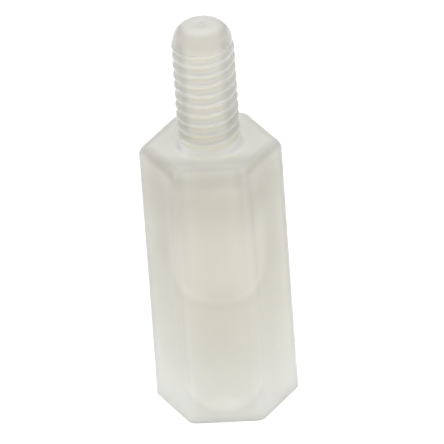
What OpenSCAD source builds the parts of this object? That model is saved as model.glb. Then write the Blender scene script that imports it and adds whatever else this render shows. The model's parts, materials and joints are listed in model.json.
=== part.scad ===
// Hex standoff, moulded in one piece: a hexagonal body with a threaded stud standing on its
// shoulder and a threaded blind hole in its flat bottom face.
//
// Millimetres, +Z up along the screw axis. The origin is the centre of the bottom face, and two
// of the six flats face -Y and +Y. Each thread is drawn as a plain cylinder at its crest, which
// is the size that a mating thread meets first.

/* [Body] */
// Width of the hexagon across its flats
hex_af = 7.8; // [7:0.1:12]
// Length of the hexagonal body, from the bottom face to the shoulder
body_len = 18; // [12:0.5:60]
// Rounding of the six upright edges
edge_r = 0.6; // [0.2:0.05:1]
// Rounding of the shoulder's outer edge
shoulder_r = 0.6; // [0.2:0.05:1]

/* [Stud] */
// Crest diameter of the stud's thread
stud_d = 3.9; // [3.8:0.01:4.6]
// Length of the stud, from the shoulder to the flat of its tip
stud_len = 8.5; // [5:0.5:12]
// Diameter of the tip where it leaves the thread
tip_d = 3.7; // [3:0.05:3.75]
// Rounding of the tip
tip_r = 1.2; // [0.4:0.05:1.4]

/* [Blind hole] */
// Crest diameter of the hole's thread
hole_d = 3.3; // [3.2:0.01:4]
// Depth of the hole, from the bottom face to its flat end
hole_depth = 8; // [5:0.5:11]
// Diameter of the countersunk mouth, at the bottom face
mouth_d = 4.2; // [4.1:0.05:5]
// Bevel around the hole's flat end
hole_bevel = 0.4; // [0.1:0.1:0.8]

/* [Hidden] */

// Facets of a full turn; every round surface here is a true one
$fn = 96;
// How far a cutter runs past the face that it opens
overrun = 1;
// How far an upright rounding stands proud of the two flats that it joins. It crosses them at a
// slight angle there, where a bare tangent would leave slivers.
edge_proud = 0.002;
// The same for the shoulder's rounding, which clears the upright ones too
shoulder_proud = 2 * edge_proud;

// Half the width across the flats, and the hexagon's circumradius
half_af = hex_af / 2;
hex_r = half_af / cos(30);
// Distance from the axis to the centres of the rounded upright edges
edge_centre_r = hex_r - edge_r / cos(30);
// Radii of the stud and its tip, and the heights where the thread and the bevel above it end
stud_r = stud_d / 2;
tip_base_r = tip_d / 2;
tip_round = min(tip_r, tip_base_r);
tip_flat_r = tip_base_r - tip_round;
stud_bevel = max(stud_r - tip_base_r, 0);
tip_z = body_len + stud_len - tip_round;
thread_top = tip_z - stud_bevel;
// Radii of the hole, and the height of its conical mouth
hole_r = hole_d / 2;
mouth_r = mouth_d / 2;
mouth_h = max(mouth_r - hole_r, 0);

// Outline of the hexagon: its flats, and a circle at each corner
module hex_outline() {
    polygon([for (flat = [30:60:330], end = [-30, 30])
        [edge_centre_r * cos(flat + end) + edge_r * cos(flat),
         edge_centre_r * sin(flat + end) + edge_r * sin(flat)]]);
    for (corner = [0:60:300])
        rotate([0, 0, corner])
            translate([edge_centre_r + edge_proud / cos(30), 0])
                circle(r = edge_r);
}

// Section of what the rounding of the shoulder takes off, with the arc's centre at the origin
module shoulder_waste() {
    difference() {
        square(shoulder_r + overrun);
        circle(r = shoulder_r);
    }
}

// Cutter that rounds the shoulder over the flat that faces +X
module shoulder_cutter() {
    arc_inset = shoulder_r - shoulder_proud;
    translate([half_af - arc_inset, 0, body_len - arc_inset])
        rotate([90, 0, 0])
            linear_extrude(height = 2 * hex_af, center = true)
                shoulder_waste();
}

// Hexagonal body: the prism, with its shoulder rounded over each flat
module body() {
    difference() {
        linear_extrude(height = body_len)
            hex_outline();
        for (flat = [30:60:330])
            rotate([0, 0, flat])
                shoulder_cutter();
    }
}

// Half section of the stud: crest of the thread, bevel, and rounded tip with a small flat
module stud_section() {
    base = body_len - overrun;
    translate([0, base])
        square([stud_r, thread_top - base]);
    polygon([[0, thread_top], [stud_r, thread_top], [tip_base_r, tip_z], [0, tip_z]]);
    translate([0, tip_z])
        square([tip_flat_r, tip_round]);
    translate([tip_flat_r, tip_z])
        intersection() {
            circle(r = tip_round);
            square(tip_round);
        }
}

// Stud, rooted in the body
module stud() {
    rotate_extrude()
        stud_section();
}

// Blind hole: countersunk mouth, bore and bevelled end
module blind_hole() {
    bore_end = hole_depth - hole_bevel;
    translate([0, 0, -overrun])
        cylinder(r = mouth_r, h = overrun);
    cylinder(r1 = mouth_r, r2 = hole_r, h = mouth_h);
    cylinder(r = hole_r, h = bore_end);
    translate([0, 0, bore_end])
        cylinder(r1 = hole_r, r2 = hole_r - hole_bevel, h = hole_bevel);
}

module standoff() {
    color([0.83, 0.82, 0.76])
        difference() {
            union() {
                body();
                stud();
            }
            blind_hole();
        }
}

standoff();
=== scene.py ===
"""Looks of a hex standoff moulded in natural nylon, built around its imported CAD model.

The standoff is one piece: a hexagonal body with a threaded stud on its shoulder and a threaded
blind hole in its bottom face. Its CAD node draws both threads as plain cylinders, so the piece
made here stands for that node and has the real helical threads, blended edges and gate mark.
Lengths are in metres, with +Z up along the screw axis and flats facing -Y and +Y.
"""

from __future__ import annotations

import json
import logging
import math
from dataclasses import astuple, dataclass, field
from enum import Enum
from typing import Any

import bmesh
import bpy
import numpy as np
from mathutils import Matrix, Vector


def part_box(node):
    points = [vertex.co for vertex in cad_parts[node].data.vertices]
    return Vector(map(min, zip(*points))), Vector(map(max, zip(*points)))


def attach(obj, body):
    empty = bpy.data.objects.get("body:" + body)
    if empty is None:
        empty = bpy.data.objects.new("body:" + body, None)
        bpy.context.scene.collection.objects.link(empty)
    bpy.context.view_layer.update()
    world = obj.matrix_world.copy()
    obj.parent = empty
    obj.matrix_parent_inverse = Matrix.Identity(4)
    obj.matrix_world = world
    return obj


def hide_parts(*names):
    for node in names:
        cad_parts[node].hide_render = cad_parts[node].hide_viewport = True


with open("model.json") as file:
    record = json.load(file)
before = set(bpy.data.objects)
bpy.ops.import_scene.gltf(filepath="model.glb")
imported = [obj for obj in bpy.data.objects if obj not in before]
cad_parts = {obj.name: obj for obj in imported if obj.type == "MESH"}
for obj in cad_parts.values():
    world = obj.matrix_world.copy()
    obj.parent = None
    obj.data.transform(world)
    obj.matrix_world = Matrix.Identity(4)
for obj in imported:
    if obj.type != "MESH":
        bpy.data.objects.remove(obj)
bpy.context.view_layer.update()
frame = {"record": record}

LOG = logging.getLogger("standoff")
MM = 0.001
NODE = "standoff"
SLOT = "nylon"
BODY = "root"
WELD = 1e-6

Ring = np.ndarray


class Side(Enum):
    """Which side of its wall a thread is cut on."""

    STUD = "stud"
    HOLE = "hole"


# ---- Node trees ----


class Wire:
    """An output socket that takes part in Python arithmetic, one Math node an operation."""

    def __init__(self, graph: Graph, socket: bpy.types.NodeSocket) -> None:
        """Wraps a socket.

        Args:
            graph: The graph that new Math nodes are added to.
            socket: The output socket that holds the value.
        """
        self.graph = graph
        self.socket = socket

    def _math(self, operation: str, *values: Any) -> Wire:
        """Adds one Math node and returns its result."""
        inputs = dict(enumerate(values))
        node = self.graph.node("ShaderNodeMath", {"operation": operation}, inputs)
        return Wire(self.graph, node.outputs[0])

    def __add__(self, other: Any) -> Wire:
        """Sum."""
        return self._math("ADD", self, other)

    def __radd__(self, other: Any) -> Wire:
        """Sum, with a plain number first."""
        return self._math("ADD", other, self)

    def __sub__(self, other: Any) -> Wire:
        """Difference."""
        return self._math("SUBTRACT", self, other)

    def __rsub__(self, other: Any) -> Wire:
        """Difference, with a plain number first."""
        return self._math("SUBTRACT", other, self)

    def __mul__(self, other: Any) -> Wire:
        """Product."""
        return self._math("MULTIPLY", self, other)

    def __rmul__(self, other: Any) -> Wire:
        """Product, with a plain number first."""
        return self._math("MULTIPLY", other, self)

    def __truediv__(self, other: Any) -> Wire:
        """Quotient."""
        return self._math("DIVIDE", self, other)

    def __neg__(self) -> Wire:
        """The value with its sign turned."""
        return self._math("MULTIPLY", self, -1.0)

    def root(self) -> Wire:
        """Square root."""
        return self._math("SQRT", self)

    def size(self) -> Wire:
        """Absolute value."""
        return self._math("ABSOLUTE", self)

    def sine(self) -> Wire:
        """Sine of an angle in radians."""
        return self._math("SINE", self)

    def cosine(self) -> Wire:
        """Cosine of an angle in radians."""
        return self._math("COSINE", self)

    def fraction(self) -> Wire:
        """Part after the decimal point."""
        return self._math("FRACT", self)

    def rounded(self) -> Wire:
        """Nearest whole number."""
        return self._math("ROUND", self)

    def at_least(self, other: Any) -> Wire:
        """The larger of two values."""
        return self._math("MAXIMUM", self, other)

    def at_most(self, other: Any) -> Wire:
        """The smaller of two values."""
        return self._math("MINIMUM", self, other)

    def above(self, other: Any) -> Wire:
        """1 where the value is greater than the other, else 0."""
        return self._math("GREATER_THAN", self, other)

    def bell(self, middle: Any, reach: Any) -> Wire:
        """Soft hump that is 1 at the middle and 0 where the value is reach away from it."""
        return 1 - (self - middle).size().ease(0.0, reach)

    def ease(self, low: Any, high: Any, kind: str = "SMOOTHSTEP") -> Wire:
        """Rises from 0 at low to 1 at high, smoothly or, when the kind is LINEAR, straight."""
        inputs = {"Value": self, "From Min": low, "From Max": high}
        settings = {"interpolation_type": kind, "clamp": True}
        node = self.graph.node("ShaderNodeMapRange", settings, inputs)
        return Wire(self.graph, node.outputs[0])


class Graph:
    """A node tree with one way to add a node."""

    def __init__(self, tree: bpy.types.NodeTree) -> None:
        """Wraps a node tree."""
        self.tree = tree

    def node(
        self,
        kind: str,
        settings: dict[str, Any] | None = None,
        inputs: dict[Any, Any] | None = None,
    ) -> bpy.types.Node:
        """Adds a node, sets it up and feeds it.

        Args:
            kind: The node's type, such as ShaderNodeMath.
            settings: Its settings by name.
            inputs: Values, wires or sockets by the input's name or number.

        Returns:
            The new node.
        """
        made = self.tree.nodes.new(kind)
        for name, value in (settings or {}).items():
            setattr(made, name, value)
        for key, value in (inputs or {}).items():
            self.feed(made.inputs[key], value)
        return made

    def feed(self, socket: bpy.types.NodeSocket, value: Any) -> None:
        """Links a wire or socket to an input, or stores a plain value in it."""
        if isinstance(value, Wire):
            value = value.socket
        if isinstance(value, bpy.types.NodeSocket):
            self.tree.links.new(value, socket)
        else:
            socket.default_value = value

    def wire(self, node: bpy.types.Node, output: int | str = 0) -> Wire:
        """One of a node's outputs as a wire."""
        return Wire(self, node.outputs[output])


def show(thing: bpy.types.Object) -> None:
    """Puts an object in the scene."""
    bpy.context.scene.collection.objects.link(thing)


# ---- Sizes ----


@dataclass(frozen=True)
class Sizes:
    """Driving sizes of the standoff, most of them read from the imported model.

    Attributes:
        half_af: Half the width across the flats.
        hex_r: Circumradius of the sharp hexagon.
        edge_r: Rounding of the upright edges.
        body_len: Height of the shoulder.
        top: Height of the stud's tip.
        stud_r: Crest radius of the stud's thread.
        hole_r: Crest radius of the hole's thread.
        mouth_h: Height of the hole's conical mouth.
        hole_thread: Length of the hole's threaded wall.
        shoulder_r: Rounding of the shoulder's outer edge.
        foot_r: Small rounding of the bottom edge.
        root_fillet: Fillet between the shoulder and the stud.
        tip_base_r: Radius of the tip where it leaves the thread.
        tip_r: Rounding of the tip.
        hole_bevel: Bevel at the end of the hole.
        pitch: Pitch of both threads.
        segments: Points around every ring.
    """

    half_af: float
    hex_r: float
    edge_r: float
    body_len: float
    top: float
    stud_r: float
    hole_r: float
    mouth_h: float
    hole_thread: float
    shoulder_r: float = 0.60 * MM
    foot_r: float = 0.07 * MM
    root_fillet: float = 0.22 * MM
    tip_base_r: float = 1.85 * MM
    tip_r: float = 1.20 * MM
    hole_bevel: float = 0.40 * MM
    pitch: float = 0.70 * MM
    segments: int = 144

    @classmethod
    def from_frame(cls) -> Sizes:
        """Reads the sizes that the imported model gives: its box and its mounts."""
        low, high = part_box(NODE)
        mounts = {mount["name"]: mount for mount in frame["record"]["mounts"]}
        half_af = (high.y - low.y) / 2
        hex_r = half_af / math.cos(math.radians(30))
        corner_loss = hex_r - (high.x - low.x) / 2
        stud, hole = mounts["stud"], mounts["blind_hole"]
        return cls(
            half_af=half_af,
            hex_r=hex_r,
            edge_r=corner_loss / (1 / math.cos(math.radians(30)) - 1),
            body_len=mounts["shoulder"]["pos_m"][2],
            top=high.z,
            stud_r=stud["dims"]["r_mm"] * MM,
            hole_r=hole["dims"]["r_mm"] * MM,
            mouth_h=hole["pos_m"][2],
            hole_thread=hole["dims"]["length_mm"] * MM,
        )


# ---- Threads, by Geometry Nodes ----


@dataclass(frozen=True)
class ThreadSpec:
    """One helical thread on a round wall.

    Attributes:
        side: Whether it is cut on the stud or in the hole.
        crest_r: Radius of the crest.
        root_r: Radius of the root.
        start_r: Radius of the plain wall where the thread starts.
        end_r: Radius of the plain wall where the thread ends.
        base: Height of the start.
        length: Height of the threaded wall.
        pitch: Rise of one turn.
        fade_in: Height over which the thread rises out of the wall at its start.
        fade_out: Height over which it fades at its end.
        shift: Share of a pitch by which the whole helix is raised.
        segments: Points around a turn.
        rows: Rows of points in one pitch.
    """

    side: Side
    crest_r: float
    root_r: float
    start_r: float
    end_r: float
    base: float
    length: float
    pitch: float
    fade_in: float
    fade_out: float
    shift: float
    segments: int
    rows: int


class ThreadMaker:
    """Geometry Nodes tree that winds a threaded wall, with its rows along the helix."""

    # The tree's inputs, in the order of ThreadSpec's numbers
    FLOATS = (
        "Crest Radius",
        "Root Radius",
        "Start Radius",
        "End Radius",
        "Base",
        "Length",
        "Pitch",
        "Fade In",
        "Fade Out",
        "Shift",
    )
    INTEGERS = ("Segments", "Rows")
    # Where a flank leaves the root and meets the crest, as shares of half a pitch
    ROOT_EDGE = 0.14
    CREST_EDGE = 0.86
    # How far its rounding runs past both
    ROUNDING = 0.08

    def __init__(self) -> None:
        """Builds the tree once; every thread shares it."""
        self.tree = bpy.data.node_groups.new("threaded_wall", "GeometryNodeTree")
        self.graph = Graph(self.tree)
        self.sockets: dict[str, str] = {}
        self._declare_inputs()
        self._build()

    def _declare_inputs(self) -> None:
        """Adds the tree's named inputs and keeps each one's identifier."""
        face = self.tree.interface
        kinds = dict.fromkeys(self.FLOATS, "Float") | dict.fromkeys(self.INTEGERS, "Int")
        kinds |= {"Inside": "Bool", "Material": "Material"}
        for name, kind in kinds.items():
            item = face.new_socket(name, in_out="INPUT", socket_type="NodeSocket" + kind)
            self.sockets[name] = item.identifier
        face.new_socket("Geometry", in_out="OUTPUT", socket_type="NodeSocketGeometry")

    def _build(self) -> None:
        """Lays the nodes out: a flat grid is rolled up, cut to a thread and welded."""
        graph = self.graph
        entry = graph.node("NodeGroupInput")
        given = {name: graph.wire(entry, name) for name in self.FLOATS + self.INTEGERS}
        rows, pitch = given["Rows"], given["Pitch"]
        row_count = ((given["Length"] / pitch + 2) * rows + 0.499).rounded()

        grid = graph.node(
            "GeometryNodeMeshGrid",
            None,
            {
                "Size X": 1.0,
                "Size Y": 1.0,
                "Vertices X": given["Segments"] + 1,
                "Vertices Y": row_count + 1,
            },
        )
        place = graph.node("GeometryNodeInputPosition")
        flat = graph.node("ShaderNodeSeparateXYZ", None, {0: place.outputs[0]})
        turn = ((graph.wire(flat, 0) + 0.5) * given["Segments"]).rounded() / given["Segments"]
        row = ((graph.wire(flat, 1) + 0.5) * row_count).rounded()

        # Rows climb one pitch a turn, and what sticks out past either end is folded onto it
        end = given["Base"] + given["Length"]
        climb = given["Base"] - pitch * (2 - given["Shift"]) + row * pitch / rows + turn * pitch
        height = climb.at_least(given["Base"]).at_most(end)

        # Moulded profile: 0 at the root, 1 at the crest, rounded at both
        wave = ((row / rows).fraction() * 2 - 1).size()
        straight = wave.ease(self.ROOT_EDGE, self.CREST_EDGE, "LINEAR")
        soft = wave.ease(self.ROOT_EDGE - self.ROUNDING, self.CREST_EDGE + self.ROUNDING)
        profile = straight * 0.2 + soft * 0.8
        fade_in = height.ease(given["Base"], given["Base"] + given["Fade In"])
        fade_out = 1 - height.ease(end - given["Fade Out"], end)
        cut_r = given["Root Radius"] + (given["Crest Radius"] - given["Root Radius"]) * profile
        past_middle = height.above(given["Base"] + given["Length"] * 0.5)
        plain_r = given["Start Radius"] + (given["End Radius"] - given["Start Radius"]) * past_middle
        radius = plain_r + (cut_r - plain_r) * (fade_in * fade_out)

        # A full turn ends where it began, to the last bit, so that the seam welds
        angle = (turn - turn.above(0.9999)) * math.tau
        rolled = graph.node(
            "ShaderNodeCombineXYZ",
            None,
            {0: radius * angle.cosine(), 1: radius * angle.sine(), 2: height},
        )
        moved = graph.node(
            "GeometryNodeSetPosition",
            None,
            {"Geometry": grid.outputs["Mesh"], "Position": rolled.outputs[0]},
        )
        welded = graph.node(
            "GeometryNodeMergeByDistance",
            None,
            {"Geometry": moved.outputs[0], "Distance": WELD},
        )
        flipped = graph.node("GeometryNodeFlipFaces", None, {"Mesh": welded.outputs[0]})
        chosen = graph.node(
            "GeometryNodeSwitch",
            {"input_type": "GEOMETRY"},
            {
                "Switch": entry.outputs["Inside"],
                "False": welded.outputs[0],
                "True": flipped.outputs[0],
            },
        )
        real = graph.node("GeometryNodeRealizeInstances", None, {"Geometry": chosen.outputs[0]})
        dressed = graph.node(
            "GeometryNodeSetMaterial",
            None,
            {"Geometry": real.outputs[0], "Material": entry.outputs["Material"]},
        )
        graph.node("NodeGroupOutput", None, {"Geometry": dressed.outputs[0]})

    def wind(self, spec: ThreadSpec, finish: bpy.types.Material) -> bpy.types.Mesh:
        """Makes one threaded wall as a plain mesh, open at both ends.

        Args:
            spec: The thread's sizes.
            finish: The material that its faces take.

        Returns:
            The wall's mesh.
        """
        holder = bpy.data.objects.new("thread_holder", bpy.data.meshes.new("thread_holder"))
        show(holder)
        modifier = holder.modifiers.new("threaded_wall", "NODES")
        modifier.node_group = self.tree
        # The spec's numbers come in the order of the tree's inputs
        side, *numbers = astuple(spec)
        values = dict(zip(self.FLOATS + self.INTEGERS, numbers, strict=True))
        values |= {"Inside": side is Side.HOLE, "Material": finish}
        for name, value in values.items():
            modifier[self.sockets[name]] = value
        evaluated = holder.evaluated_get(bpy.context.evaluated_depsgraph_get())
        mesh = bpy.data.meshes.new_from_object(evaluated)
        bpy.data.objects.remove(holder)
        return mesh


# ---- Body, tip and hole end, by rings of points ----


class Skin:
    """A surface made of rings with the same number of points, each joined to the next."""

    def __init__(self) -> None:
        """Starts with no rings."""
        self.rings: list[Ring] = []

    def add(self, ring: Ring) -> None:
        """Adds a ring, seen anticlockwise from outside where the rings climb."""
        self.rings.append(ring)

    def mesh(self, name: str, capped: bool = False) -> bpy.types.Mesh:
        """Joins the rings into a mesh.

        Args:
            name: The mesh's name.
            capped: Whether the last ring is closed by one point at its middle.

        Returns:
            The mesh, open at the first ring and, unless capped, at the last.
        """
        count = len(self.rings[0])
        points = np.concatenate(self.rings)
        faces: list[tuple[int, ...]] = []
        for ring in range(len(self.rings) - 1):
            low, high = ring * count, (ring + 1) * count
            for i in range(count):
                j = (i + 1) % count
                faces.append((low + i, low + j, high + j, high + i))
        if capped:
            points = np.vstack([points, self.rings[-1].mean(axis=0)])
            last = (len(self.rings) - 1) * count
            apex = len(points) - 1
            faces += [(last + i, last + (i + 1) % count, apex) for i in range(count)]
        mesh = bpy.data.meshes.new(name)
        mesh.from_pydata([tuple(point) for point in points], [], faces)
        return mesh


def circle_ring(radius: float, height: float, count: int) -> Ring:
    """Ring of evenly spaced points on a circle about the axis."""
    angles = np.arange(count) * (math.tau / count)
    flat = np.stack([np.cos(angles), np.sin(angles)], axis=1) * radius
    return np.column_stack([flat, np.full(count, height)])


@dataclass
class HexBody:
    """The hexagonal body, from the rim of its mouth, under and up to the foot of the stud.

    Attributes:
        sizes: The standoff's sizes.
        arc_steps: Steps around each upright edge.
        wall_rows: Rows of faces up the flats.
        shoulder_steps: Steps of the shoulder's rounding.
        foot_steps: Steps of the bottom edge's rounding.
        fillet_steps: Steps of the fillet at the stud's foot.
        corner_growth: How much an upright edge's rounding grows with each length of inset.
        sink: Deepest sink of a flat.
        strip: Narrow flat strip beside a rounding, which keeps the shading of the flat even.
        mouth_strip: The same around the mouth.
        foot_strip: The same along the bottom edge.
    """

    sizes: Sizes
    arc_steps: int = 8
    wall_rows: int = 36
    shoulder_steps: int = 10
    foot_steps: int = 4
    fillet_steps: int = 6
    corner_growth: float = 0.9
    sink: float = 0.018 * MM
    strip: float = 0.06 * MM
    mouth_strip: float = 0.05 * MM
    foot_strip: float = 0.50 * MM

    def outline(self, inset: float, height: float) -> Ring:
        """Ring on the hexagon with rounded corners.

        Args:
            inset: Distance from the flats, inwards.
            height: Height of the ring.

        Returns:
            The ring, which starts at the middle of the corner on +X.
        """
        s = self.sizes
        corner_r = s.edge_r + self.corner_growth * inset
        centre_r = (s.half_af - inset - corner_r) / math.cos(math.radians(30))
        half_flat = centre_r / 2
        flat_steps = s.segments // 6 - self.arc_steps
        # Points along a flat crowd towards its ends, so that the flat shades flat
        shares = -np.cos(np.linspace(0, math.pi, flat_steps + 1))
        shares = 0.55 * shares + 0.45 * np.linspace(-1, 1, flat_steps + 1)
        points: list[tuple[float, float]] = []
        for corner in range(6):
            middle = math.radians(60 * corner)
            centre = np.array([math.cos(middle), math.sin(middle)]) * centre_r
            first = -self.arc_steps // 2
            for step in range(first, first + self.arc_steps):
                angle = middle + math.radians(60) * step / self.arc_steps
                points.append(tuple(centre + corner_r * np.array([math.cos(angle), math.sin(angle)])))
            normal = middle + math.radians(30)
            out = np.array([math.cos(normal), math.sin(normal)])
            along = np.array([-out[1], out[0]])
            for share in shares[:-1]:
                dip = self.sink_at(share, height) if inset == 0 else 0.0
                points.append(tuple(out * (s.half_af - inset - dip) + along * share * half_flat))
        ring = np.array(points)
        # The corner's middle point is brought to the front of the ring
        ring = np.roll(ring, -(self.arc_steps // 2), axis=0)
        return np.column_stack([ring, np.full(len(ring), height)])

    def sink_at(self, share: float, height: float) -> float:
        """Depth that a flat has sunk in cooling, deepest a little above mid height.

        Args:
            share: Place across the flat, from -1 to 1.
            height: Height on the flat.

        Returns:
            The depth, zero at the flat's edges.
        """
        s = self.sizes
        across = (1 - share * share) ** 2
        up = min(max(height / s.body_len, 0.0), 1.0)
        along = math.sin(math.pi * up) * (0.45 + 0.55 * up)
        return self.sink * across * along

    def skin(self) -> Skin:
        """Lays the rings from the mouth's rim to the stud's foot."""
        s = self.sizes
        skin = Skin()
        mouth_r = s.hole_r + s.mouth_h
        skin.add(circle_ring(mouth_r, 0.0, s.segments))
        skin.add(circle_ring(mouth_r + self.mouth_strip, 0.0, s.segments))
        skin.add(self.outline(self.foot_strip, 0.0))
        for step in range(self.foot_steps + 1):
            angle = math.pi / 2 * (1 - step / self.foot_steps)
            inset = s.foot_r * (1 - math.cos(angle))
            skin.add(self.outline(inset, s.foot_r * (1 - math.sin(angle))))
        low, high = s.foot_r, s.body_len - s.shoulder_r
        for row in range(1, self.wall_rows + 1):
            share = 0.5 - 0.5 * math.cos(math.pi * row / self.wall_rows)
            skin.add(self.outline(0.0, low + (high - low) * share))
        for step in range(1, self.shoulder_steps + 1):
            angle = math.pi / 2 * step / self.shoulder_steps
            inset = s.shoulder_r * (1 - math.cos(angle))
            skin.add(self.outline(inset, high + s.shoulder_r * math.sin(angle)))
        skin.add(self.outline(s.shoulder_r + self.strip, s.body_len))
        fillet_r = s.stud_r + s.root_fillet
        skin.add(circle_ring(fillet_r + self.strip, s.body_len, s.segments))
        for step in range(self.fillet_steps + 1):
            angle = math.pi / 2 * step / self.fillet_steps
            radius = fillet_r - s.root_fillet * math.sin(angle)
            height = s.body_len + s.root_fillet * (1 - math.cos(angle))
            skin.add(circle_ring(radius, height, s.segments))
        return skin


@dataclass
class StudTip:
    """The rounded end of the stud, with the mark of the moulding gate in its middle.

    Attributes:
        sizes: The standoff's sizes.
        arc_steps: Steps of the rounding.
        gate_r: Radius of the gate's dish.
        gate_depth: Depth of the dish.
        nub_r: Radius of the nub in the dish.
        nub_rise: Height of the nub above the dish.
    """

    sizes: Sizes
    arc_steps: int = 14
    gate_r: float = 0.42 * MM
    gate_depth: float = 0.04 * MM
    nub_r: float = 0.14 * MM
    nub_rise: float = 0.02 * MM

    def skin(self) -> Skin:
        """Lays the rings from the end of the thread to the middle of the tip."""
        s = self.sizes
        skin = Skin()
        round_z = s.top - s.tip_r
        flat_r = s.tip_base_r - s.tip_r
        skin.add(circle_ring(s.tip_base_r, round_z, s.segments))
        for step in range(1, self.arc_steps + 1):
            angle = math.pi / 2 * step / self.arc_steps
            radius = flat_r + s.tip_r * math.cos(angle)
            skin.add(circle_ring(radius, round_z + s.tip_r * math.sin(angle), s.segments))
        # Shallow dish of the gate, with a low nub where it broke off
        for share, drop in ((1.0, 0.0), (0.9, 0.45), (0.78, 0.9), (0.6, 1.0)):
            skin.add(circle_ring(self.gate_r * share, s.top - self.gate_depth * drop, s.segments))
        for share, rise in ((1.0, 0.0), (0.8, 0.7), (0.45, 1.0)):
            height = s.top - self.gate_depth + self.nub_rise * rise
            skin.add(circle_ring(self.nub_r * share, height, s.segments))
        return skin


@dataclass
class HoleEnds:
    """The conical mouth of the hole, and its bevelled blind end."""

    sizes: Sizes

    def mouth(self) -> Skin:
        """Lays the rings of the mouth, from the thread out to the rim."""
        s = self.sizes
        skin = Skin()
        for share in (0.0, 0.08, 0.5, 0.92, 1.0):
            height = s.mouth_h * (1 - share)
            skin.add(circle_ring(s.hole_r + s.mouth_h * share, height, s.segments))
        return skin

    def end(self) -> Skin:
        """Lays the rings of the blind end, from the thread in to its middle ring."""
        s = self.sizes
        skin = Skin()
        bore_end = s.mouth_h + s.hole_thread
        skin.add(circle_ring(s.hole_r, bore_end, s.segments))
        for share in (1.0, 0.55, 0.15):
            ring_r = (s.hole_r - s.hole_bevel) * share
            skin.add(circle_ring(ring_r, bore_end + s.hole_bevel, s.segments))
        return skin


# ---- Finish ----


@dataclass(frozen=True)
class Shades:
    """How much each soft shade in the nylon lightens it, as a share of its brightness.

    All but cloud and speck are painted light and shade: they stand for how light falls on the solid
    and spreads inside it, not for a change in the material. Each is laid over the zone of its own
    name, or as _tone says.

    Attributes:
        upper: Painted shade over the solid upper stretch of the body.
        crown: Painted shade on its last stretch, under the shoulder.
        middle: Painted shade on the body at about the end of the hole.
        foot: Painted light on the lowest stretch of the body.
        side_faces: Painted shade on the faces beside the front and back flats.
        lee: Painted shade on the faces on the -X side, away from the light, and the corner between
            them.
        painted_shoulder_shade: Painted shade on the flat top of the shoulder, in front of the stud.
        rim: Painted shade on the rounded outer edge of the shoulder.
        painted_rim_side_light: Painted light on the same edge away from the front and back flats.
        collar: Painted light in a ring on the shoulder around the stud.
        flank: Painted shade in a patch under the rim, beside the front and back flats.
        upright: Painted shade on the upright edges of the hexagon.
        outline: Painted shade on the left and right upright edges, which end the body's outline.
        foot_corner: Painted highlight on the lowest part of the upright edges.
        window: Painted light in the middle of the front and back, above the hole.
        window_line: Faint painted line of light around that window.
        window_rim: Faint shade just outside that line.
        pool: Painted patch of light low on the front and back flats.
        sill: Painted shade in a band along their bottom edges.
        stud: Painted light over the whole stud.
        stud_sides: Painted shade on its left and right sides.
        neck: Painted shade at the start of the tip's rounding, just above the thread.
        tip: Painted shade over the rounded tip.
        tip_top: Painted light on the flat middle of the tip.
        tip_sides: Painted shade left and right of the tip, where its rounding starts.
        groove: Painted light in the bottom of the stud's thread.
        crest: Painted shade on the crest of the stud's thread.
        tilt: Painted shade on its upper flanks, and by as much painted light on its lower ones.
        cloud: Slow variation from flow in the mould.
        speck: Dark speck on the stud.
    """

    upper: float = -0.15
    crown: float = -0.11
    middle: float = -0.03
    foot: float = 0.10
    side_faces: float = -0.08
    lee: float = -0.06
    painted_shoulder_shade: float = -0.23
    rim: float = -0.16
    painted_rim_side_light: float = 0.13
    collar: float = 0.30
    flank: float = -0.055
    upright: float = -0.11
    outline: float = -0.08
    foot_corner: float = 0.07
    window: float = 0.015
    window_line: float = 0.042
    window_rim: float = -0.025
    pool: float = 0.06
    sill: float = -0.06
    stud: float = 0.02
    stud_sides: float = -0.25
    neck: float = -0.27
    tip: float = -0.45
    tip_top: float = 0.20
    tip_sides: float = -0.16
    groove: float = 0.06
    crest: float = -0.08
    tilt: float = -0.30
    cloud: float = 0.02
    speck: float = -0.30


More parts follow.
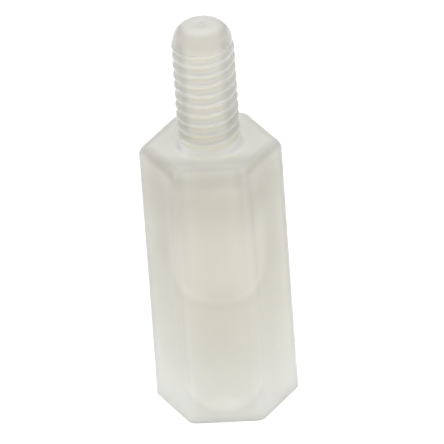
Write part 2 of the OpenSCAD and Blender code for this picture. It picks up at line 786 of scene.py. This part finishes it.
@dataclass(frozen=True)
class NaturalNylon:
    """Natural nylon as moulded: milky, with a satin skin; its colour holds painted light and shade, and
    a painted warm tint where light has come a long way through it.

    Attributes:
        base: Brightness of the plain nylon.
        warm: Tint where light has come a long way through it.
        cool: Tint where it is thin or lit from close by.
        scatter: How far light travels inside, for red, green and blue.
        scatter_scale: Scale of that distance.
        clear: Share of the light that passes without scattering.
        roughness: Roughness of the moulded skin.
        shades: Soft painted light and shade inside it, with its cloud and speck.
    """

    base: float = 0.745
    warm: tuple[float, float, float] = (1.0, 0.98, 0.845)
    cool: tuple[float, float, float] = (1.0, 1.0, 0.935)
    scatter: tuple[float, float, float] = (1.0, 0.92, 0.75)
    scatter_scale: float = 3.0 * MM
    clear: float = 0.25
    roughness: float = 0.25
    shades: Shades = field(default_factory=Shades)

    def material(self, sizes: Sizes) -> bpy.types.Material:
        """Builds the material.

        Args:
            sizes: The standoff's sizes, which place the shades inside it.

        Returns:
            The finished material.
        """
        finish = bpy.data.materials.new(SLOT)
        finish.use_nodes = True
        finish.node_tree.nodes.clear()
        graph = Graph(finish.node_tree)
        zones = NylonZones(graph, sizes)
        tone, coolness = self._tone(zones), zones.cool()
        channels = {}
        # Painted light and shade set the brightness, and the painted cool mask turns the tint from warm
        # to cool
        for channel, (warm, cool) in enumerate(zip(self.warm, self.cool)):
            channels[channel] = tone * (coolness * (cool - warm) + warm)
        colour = graph.node("ShaderNodeCombineColor", None, channels)
        shader = graph.node(
            "ShaderNodeBsdfPrincipled",
            {"subsurface_method": "RANDOM_WALK_SKIN"},
            {
                "Base Color": colour.outputs[0],
                "Roughness": self.roughness,
                "IOR": 1.53,
                "Specular IOR Level": 0.3,
                "Subsurface Weight": 1.0,
                "Subsurface Radius": self.scatter,
                "Subsurface Scale": self.scatter_scale,
                "Transmission Weight": self.clear,
            },
        )
        graph.node("ShaderNodeOutputMaterial", None, {"Surface": shader.outputs[0]})
        return finish

    def _laid(self, zones: NylonZones, names: tuple[str, ...], under: Wire | float = 0.0) -> Wire:
        """Adds the named shades, each over its own zone, to the tone under them."""
        for name in names:
            under = under + getattr(self.shades, name) * getattr(zones, name)()
        return under

    def _tone(self, zones: NylonZones) -> Wire:
        """Brightness of the nylon, with all its painted light and shade, its cloud and its speck taken
        together.
        """
        k = self.shades
        on_body = ("upper", "crown", "middle", "foot", "upright")
        on_faces = ("flank", "side_faces", "lee", "outline", "foot_corner")
        on_stud = ("tip", "tip_top", "neck", "tip_sides", "stud", "stud_sides")
        on_thread = ("groove", "crest", "tilt")
        tone = zones.outer * self._laid(zones, on_body + on_faces)
        tone = tone + zones.rim() * (k.rim + k.painted_rim_side_light * zones.sideways())
        tone = self._laid(zones, ("collar",), tone)
        tone = tone + k.painted_shoulder_shade * zones.ahead() * zones.shoulder()
        tone = tone + zones.front() * self._laid(zones, ("window", "window_line", "window_rim"))
        tone = tone + zones.front_flat() * self._laid(zones, ("pool", "sill"))
        tone = self._laid(zones, on_stud + on_thread + ("cloud", "speck"), tone)
        return (tone + 1.0) * self.base


class NylonZones:
    """Places inside the standoff that look a little lighter, darker or cooler, as soft masks. Most
    carry painted light and shade; the cloud and the speck are the nylon's own.
    """

    # Millimetres, but for the squash, a share by which the window's round end is flattened
    SPECK_AT = (-0.85, -1.72, 21.6)
    SPECK_R = 0.22
    WINDOW_MIDDLE = 0.2
    WINDOW_HALF = 2.7
    WINDOW_BOTTOM = 11.3
    WINDOW_SQUASH = 1.12
    POOL_HEIGHT = 1.35
    POOL_REACH = (1.9, 0.75)
    GROOVE_DEPTH = 0.22
    # Cloudy swirls in a metre
    CLOUD_SCALE = 420.0

    def __init__(self, graph: Graph, sizes: Sizes) -> None:
        """Works out the shared coordinates, in millimetres.

        Args:
            graph: The material's graph.
            sizes: The standoff's sizes.
        """
        self.graph = graph
        self.sizes = sizes
        place = graph.node("ShaderNodeTexCoord")
        self.place = place.outputs["Object"]
        facing = graph.node("ShaderNodeSeparateXYZ", None, {0: place.outputs["Normal"]})
        self.facing_up = graph.wire(facing, 2)
        split = graph.node("ShaderNodeSeparateXYZ", None, {0: self.place})
        self.x, self.y, self.z = (graph.wire(split, axis) / MM for axis in range(3))
        self.r = (self.x * self.x + self.y * self.y).root()
        slant = math.radians(30)
        across = (self.x * math.cos(slant)).size() + (self.y * math.sin(slant)).size()
        # Distance to the flats' planes, and the place along the flat from its middle
        self.q = across.at_least(self.y.size())
        self.t = (self.r * self.r - self.q * self.q).at_least(0.0).root()
        # Heights of the shoulder, the end of the stud's thread and the tip
        self.top = sizes.body_len / MM
        self.thread_end = (sizes.top - sizes.tip_r) / MM
        self.tip_end = sizes.top / MM
        # 1 on the sides of the body, 0 inside its shoulder and on the stud
        self.outer = self.q.ease(2.95, 3.8)

    def upper(self) -> Wire:
        """Painted shade on the solid upper body, rising from 0 at a third of the body's height to about
        1 at the shoulder.
        """
        return self.z.ease(0.30 * self.top, 1.02 * self.top)

    def crown(self) -> Wire:
        """Painted shade, 1 under the shoulder and 0 from 0.7 of its height down."""
        return self.z.ease(0.70 * self.top, 0.93 * self.top)

    def middle(self) -> Wire:
        """Painted shade around the end of the hole."""
        return self.z.bell(0.42 * self.top, 0.35 * self.top)

    def foot(self) -> Wire:
        """Painted light, 1 at the bottom edge and 0 from a third of the height."""
        return 1 - self.z.ease(0.0, 0.34 * self.top)

    def upright(self) -> Wire:
        """Painted shade along the rounded upright edges, strongest near the shoulder."""
        high = self.z.ease(0.5 * self.top, 0.9 * self.top)
        return self.t.ease(1.2, 2.1) * (high * 0.35 + 0.65)

    def lee(self) -> Wire:
        """Painted shade on the faces on the -X side, away from the light, above the foot."""
        return (-self.x).ease(1.9, 2.7) * self.z.ease(0.05 * self.top, 0.3 * self.top)

    def foot_corner(self) -> Wire:
        """Painted highlight on the lowest part of the upright edges."""
        return self.t.ease(1.35, 2.1) * self.foot()

    def side_faces(self) -> Wire:
        """Painted shade on the faces beside the front and back flats, above the foot."""
        return self.x.size().ease(2.0, 2.6) * self.z.ease(0.25 * self.top, 0.6 * self.top)

    def sideways(self) -> Wire:
        """0 over the front and back flats, 1 beside them."""
        return self.x.size().ease(1.7, 2.7)

    def outline(self) -> Wire:
        """Painted shade on the left and right upright edges."""
        return self.x.size().ease(4.12, 4.38)

    def ahead(self) -> Wire:
        """In front of the stud."""
        return (-self.y).ease(1.2, 2.6)

    def front(self) -> Wire:
        """1 on the front and back halves, 0 at the left and right edges."""
        return self.y.size().ease(0.6, 1.8) * self.outer

    def front_flat(self) -> Wire:
        """1 on the front and back flats alone."""
        return self.y.size().ease(3.3, 3.85)

    def flank(self) -> Wire:
        """Painted shade in a patch under the rim beside the front and back flats, lower on the -X side.
        """
        beside = self.x.size().bell(2.8, 1.2)
        return beside * (self.z - self.x * 0.6).ease(self.top - 6.4, self.top - 3.4)

    def rim(self) -> Wire:
        """Rounded outer edge of the shoulder, and the wall just under it, where shade is painted, with
        painted light beside the front and back flats.
        """
        return self.outer * self.z.ease(self.top - 1.5, self.top - 0.5)

    def shoulder(self) -> Wire:
        """Flat top of the shoulder, which takes painted shade in front of the stud and the painted cool
        tint.
        """
        flat = self.z.ease(self.top - 0.25, self.top) * (1 - self.q.ease(3.1, 3.7))
        return flat * self.r.ease(1.85, 1.95)

    def collar(self) -> Wire:
        """Painted light on the shoulder and the lowest part of the stud, where the two meet."""
        near = (1 - self.r.ease(1.95, 2.5)) * 0.4 + (1 - self.r.ease(2.0, 3.3)) * 0.6
        low = 1 - self.z.ease(self.top + 0.2, self.top + 1.2)
        return near * low * self.z.ease(self.top - 0.2, self.top)

    def _window_gap(self) -> Wire:
        """Distance outside the window's edge, negative within it."""
        across = self.x - self.WINDOW_MIDDLE
        below = ((self.WINDOW_BOTTOM - self.z) * self.WINDOW_SQUASH).at_least(0.0)
        return (across * across + below * below).root() - self.WINDOW_HALF

    def _window_fade(self) -> Wire:
        """Fades the window out towards the shoulder."""
        return 1 - self.z.ease(0.72 * self.top, 0.92 * self.top)

    def window(self) -> Wire:
        """Painted light inside the window."""
        return (1 - self._window_gap().ease(-0.5, 0.0)) * self._window_fade()

    def window_line(self) -> Wire:
        """Thin painted line of light around the window."""
        return self._window_gap().bell(0.0, 0.45) * self._window_fade()

    def window_rim(self) -> Wire:
        """Soft shade just outside that line, below the window."""
        return self._window_gap().bell(0.6, 0.7) * (1 - self.z.ease(12.0, 16.0))

    def pool(self) -> Wire:
        """Painted patch of light low on the flat."""
        reach, rise = self.POOL_REACH
        across, up = self.x / reach, (self.z - self.POOL_HEIGHT) / rise
        return 1 - (across * across + up * up).root().ease(0.2, 1.0)

    def sill(self) -> Wire:
        """Painted shade in a band along the bottom edge, bounded by a shallow curve."""
        return 1 - (self.z - self.x * self.x * 0.3).ease(0.62, 0.95)

    def tip(self) -> Wire:
        """Painted shade over the rounded tip of the stud."""
        return self.z.ease(self.thread_end + 0.05, self.thread_end + 0.8)

    def neck(self) -> Wire:
        """Painted shade at the start of the tip's rounding, just above the thread."""
        return self.z.bell(self.thread_end + 0.15, 0.60)

    def tip_top(self) -> Wire:
        """Painted light on the flat middle of the tip."""
        return self.z.ease(self.tip_end - 0.3, self.tip_end)

    def tip_sides(self) -> Wire:
        """Painted shade left and right of the tip, where its rounding starts."""
        return self.x.size().ease(0.8, 1.5) * self.z.bell(self.thread_end + 0.15, 0.5)

    def stud(self) -> Wire:
        """Painted light over the whole stud."""
        return self.z.ease(self.top + 0.1, self.top + 0.6)

    def on_thread(self) -> Wire:
        """1 along the stud's thread."""
        below_end = 1 - self.z.ease(self.thread_end - 0.1, self.thread_end)
        return self.z.ease(self.top + 0.3, self.top + 0.6) * below_end

    def stud_sides(self) -> Wire:
        """Painted shade on the left and right sides of the stud, above its lowest turns."""
        beside = self.x.size().ease(0.85, 1.4) * self.z.ease(self.top + 0.7, self.top + 2.0)
        return beside * (1 - self.tip() * 0.6)

    def depth(self) -> Wire:
        """0 on the thread's crest, 1 in its root."""
        crest = self.sizes.stud_r / MM
        return ((crest - self.r) / self.GROOVE_DEPTH).at_least(0.0).at_most(1.0)

    def groove(self) -> Wire:
        """Painted light in the bottom of the stud's thread."""
        return self.depth() * self.on_thread()

    def crest(self) -> Wire:
        """Painted shade on the crest of the stud's thread."""
        return (1 - self.depth().ease(0.0, 0.35)) * self.on_thread()

    def tilt(self) -> Wire:
        """Slope of the stud's thread, positive where it faces up: the mask for painted shade on its
        upper flanks and painted light on its lower ones.
        """
        return self.facing_up * self.on_thread()

    def cloud(self) -> Wire:
        """Slow cloudy variation from -1 to 1."""
        settings = {"noise_dimensions": "3D"}
        inputs = {
            "Vector": self.place,
            "Scale": self.CLOUD_SCALE,
            "Detail": 3.0,
            "Roughness": 0.55,
        }
        noise = self.graph.node("ShaderNodeTexNoise", settings, inputs)
        return self.graph.wire(noise, 0) * 2 - 1

    def speck(self) -> Wire:
        """One dark speck under the stud's skin."""
        x, y, z = (own - at for own, at in zip((self.x, self.y, self.z), self.SPECK_AT))
        return 1 - (x * x + y * y + z * z).root().ease(0.05, self.SPECK_R)

    def cool(self) -> Wire:
        """Where the nylon takes the painted cool tint of light and not the warm one."""
        low = 1 - self.z.ease(0.02 * self.top, 0.45 * self.top)
        far = self.t.ease(0.2, 1.8) * self.x.size().ease(2.3, 3.6) * 0.25
        total = self.outer * (low + far) + self.shoulder() + self.tip_top() + self.stud_sides()
        return total.at_least(0.0).at_most(1.0)


# ---- The piece ----


@dataclass
class Standoff:
    """The whole standoff, as one closed mesh.

    Attributes:
        sizes: The standoff's sizes.
        finish: The nylon that it is moulded in.
        thread_depth: Depth of both threads, as a share of the pitch.
        crease: Angle in degrees past which an edge shades sharp.
    """

    sizes: Sizes
    finish: NaturalNylon = field(default_factory=NaturalNylon)
    thread_depth: float = 0.31
    crease: float = 35.0

    def threads(self) -> list[ThreadSpec]:
        """Sizes of the stud's thread and of the hole's."""
        s = self.sizes
        depth = self.thread_depth * s.pitch
        foot = s.body_len + s.root_fillet
        stud = ThreadSpec(
            side=Side.STUD,
            crest_r=s.stud_r,
            root_r=s.stud_r - depth,
            start_r=s.stud_r,
            end_r=s.tip_base_r,
            base=foot,
            length=s.top - s.tip_r - foot,
            pitch=s.pitch,
            fade_in=1.2 * s.pitch,
            fade_out=0.2 * s.pitch,
            shift=0.37,
            segments=s.segments,
            rows=16,
        )
        hole = ThreadSpec(
            side=Side.HOLE,
            crest_r=s.hole_r,
            root_r=s.hole_r + depth,
            start_r=s.hole_r,
            end_r=s.hole_r,
            base=s.mouth_h,
            length=s.hole_thread,
            pitch=s.pitch,
            fade_in=0.6 * s.pitch,
            fade_out=1.0 * s.pitch,
            shift=0.0,
            segments=s.segments,
            rows=16,
        )
        return [stud, hole]

    def build(self) -> bpy.types.Object:
        """Makes every surface, welds them into one closed mesh and dresses it.

        Returns:
            The finished object.
        """
        material = self.finish.material(self.sizes)
        maker = ThreadMaker()
        parts = [maker.wind(spec, material) for spec in self.threads()]
        ends = HoleEnds(self.sizes)
        parts.append(HexBody(self.sizes).skin().mesh("body"))
        parts.append(StudTip(self.sizes).skin().mesh("tip", capped=True))
        parts.append(ends.mouth().mesh("mouth"))
        parts.append(ends.end().mesh("hole_end", capped=True))

        merged = bmesh.new()
        for part in parts:
            merged.from_mesh(part)
            bpy.data.meshes.remove(part)
        bmesh.ops.remove_doubles(merged, verts=merged.verts, dist=WELD)
        bmesh.ops.dissolve_degenerate(merged, edges=merged.edges, dist=WELD)
        bmesh.ops.recalc_face_normals(merged, faces=merged.faces)
        open_edges = sum(1 for edge in merged.edges if not edge.is_manifold)
        mesh = bpy.data.meshes.new("hex_standoff")
        merged.to_mesh(mesh)
        merged.free()
        mesh.materials.append(material)
        mesh.shade_smooth()
        mesh.set_sharp_from_angle(angle=math.radians(self.crease))
        piece = bpy.data.objects.new("hex_standoff", mesh)
        show(piece)
        triangles = sum(len(face.vertices) - 2 for face in mesh.polygons)
        LOG.info("hex_standoff: %d triangles, %d open edges", triangles, open_edges)
        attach(piece, BODY)
        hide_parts(NODE)
        return piece


# ---- Studio ----


@dataclass(frozen=True)
class Lamp:
    """A square soft light that faces the standoff.

    Attributes:
        name: The light's name.
        azimuth: Where it stands, in degrees from the front towards +X.
        elevation: Degrees above the floor.
        distance: How far it stands from the standoff.
        size: Length of its side.
        radiance: Brightness of its face, where the white floor is about 1.
    """

    name: str
    azimuth: float
    elevation: float
    distance: float
    size: float
    radiance: float


@dataclass
class Studio:
    """Plain pale floor, even surroundings, one soft light overhead and the camera.

    Attributes:
        focus: Point that the light and the camera stand around.
        floor_half: Half the floor's side.
        sky: Strength of the surroundings as a light.
        lamps: Soft lights.
        camera_azimuth: Degrees from the front towards +X.
        camera_elevation: Degrees above the floor.
        camera_roll: Degrees by which the camera leans.
        camera_distance: Distance from the camera to the point it looks at.
        lens: Focal length in millimetres.
        aim_right: How far right of the focus that point is.
        aim_down: How far below the focus it is.
    """

    focus: Vector
    floor_half: float = 1.2
    sky: float = 0.45
    lamps: tuple[Lamp, ...] = (Lamp("top_light", 0.0, 80.0, 1.20, 2.40, 1.4),)
    camera_azimuth: float = 2.68
    camera_elevation: float = 31.15
    camera_roll: float = 4.14
    camera_distance: float = 0.6373
    lens: float = 834.5
    aim_right: float = 0.400 * MM
    aim_down: float = 0.680 * MM

    @staticmethod
    def _direction(azimuth: float, elevation: float) -> Vector:
        """Unit vector from the standoff to a place in the studio."""
        a, e = math.radians(azimuth), math.radians(elevation)
        return Vector((math.sin(a) * math.cos(e), -math.cos(a) * math.cos(e), math.sin(e)))

    @staticmethod
    def _facing(direction: Vector) -> Matrix:
        """Rotation of a light or camera that looks back along a direction."""
        return (-direction).to_track_quat("-Z", "Y").to_matrix().to_4x4()

    def build_floor(self) -> None:
        """Lays the pale floor."""
        mesh = bpy.data.meshes.new("floor")
        h = self.floor_half
        mesh.from_pydata([(-h, -h, 0), (h, -h, 0), (h, h, 0), (-h, h, 0)], [], [(0, 1, 2, 3)])
        floor = bpy.data.objects.new("floor", mesh)
        show(floor)
        material = bpy.data.materials.new("floor")
        material.use_nodes = True
        material.node_tree.nodes.clear()
        graph = Graph(material.node_tree)
        shader = graph.node(
            "ShaderNodeBsdfPrincipled",
            None,
            {
                "Base Color": (0.92, 0.92, 0.92, 1.0),
                "Roughness": 0.9,
                "Specular IOR Level": 0.2,
                "Emission Color": (1.0, 1.0, 1.0, 1.0),
                "Emission Strength": 0.20,
            },
        )
        graph.node("ShaderNodeOutputMaterial", None, {"Surface": shader.outputs[0]})
        mesh.materials.append(material)

    def build_world(self) -> None:
        """Sets the even pale surroundings."""
        world = bpy.data.worlds.new("studio")
        bpy.context.scene.world = world
        world.use_nodes = True
        world.node_tree.nodes.clear()
        graph = Graph(world.node_tree)
        seen = graph.node("ShaderNodeLightPath")
        strength = graph.wire(seen, "Is Camera Ray") * (1.0 - self.sky) + self.sky
        glow = graph.node(
            "ShaderNodeBackground", None, {"Color": (1.0, 1.0, 1.0, 1.0), "Strength": strength}
        )
        graph.node("ShaderNodeOutputWorld", None, {"Surface": glow.outputs[0]})

    def build_lamps(self) -> None:
        """Stands the soft lights around the standoff."""
        for lamp in self.lamps:
            data = bpy.data.lights.new(lamp.name, "AREA")
            data.shape = "SQUARE"
            data.size = lamp.size
            # A lambertian face of this radiance gives off radiance x area x pi
            data.energy = lamp.radiance * lamp.size * lamp.size * math.pi
            light = bpy.data.objects.new(lamp.name, data)
            direction = self._direction(lamp.azimuth, lamp.elevation)
            turned = self._facing(direction)
            light.matrix_world = Matrix.Translation(self.focus + direction * lamp.distance) @ turned
            show(light)

    def build_camera(self) -> None:
        """Places the camera and makes it the scene's own."""
        data = bpy.data.cameras.new("camera")
        data.lens = self.lens
        data.sensor_width = 36.0
        data.clip_start = 0.01
        data.clip_end = 50.0
        camera = bpy.data.objects.new("camera", data)
        direction = self._direction(self.camera_azimuth, self.camera_elevation)
        turned = self._facing(direction)
        right = turned.to_3x3() @ Vector((1.0, 0.0, 0.0))
        down = turned.to_3x3() @ Vector((0.0, -1.0, 0.0))
        aim = self.focus + right * self.aim_right + down * self.aim_down
        roll = Matrix.Rotation(math.radians(-self.camera_roll), 4, "Z")
        camera.matrix_world = Matrix.Translation(aim + direction * self.camera_distance) @ turned @ roll
        show(camera)
        bpy.context.scene.camera = camera

    def build(self) -> None:
        """Builds the floor, the surroundings, the lights and the camera."""
        self.build_floor()
        self.build_world()
        self.build_lamps()
        self.build_camera()
        bpy.context.scene.view_settings.view_transform = "Standard"


def main() -> None:
    """Builds the standoff and its studio."""
    logging.basicConfig(level=logging.INFO, format="%(name)s: %(message)s")
    sizes = Sizes.from_frame()
    Standoff(sizes).build()
    Studio(focus=Vector((0.0, 0.0, 13.0 * MM))).build()


if __name__ == "__main__":
    main()
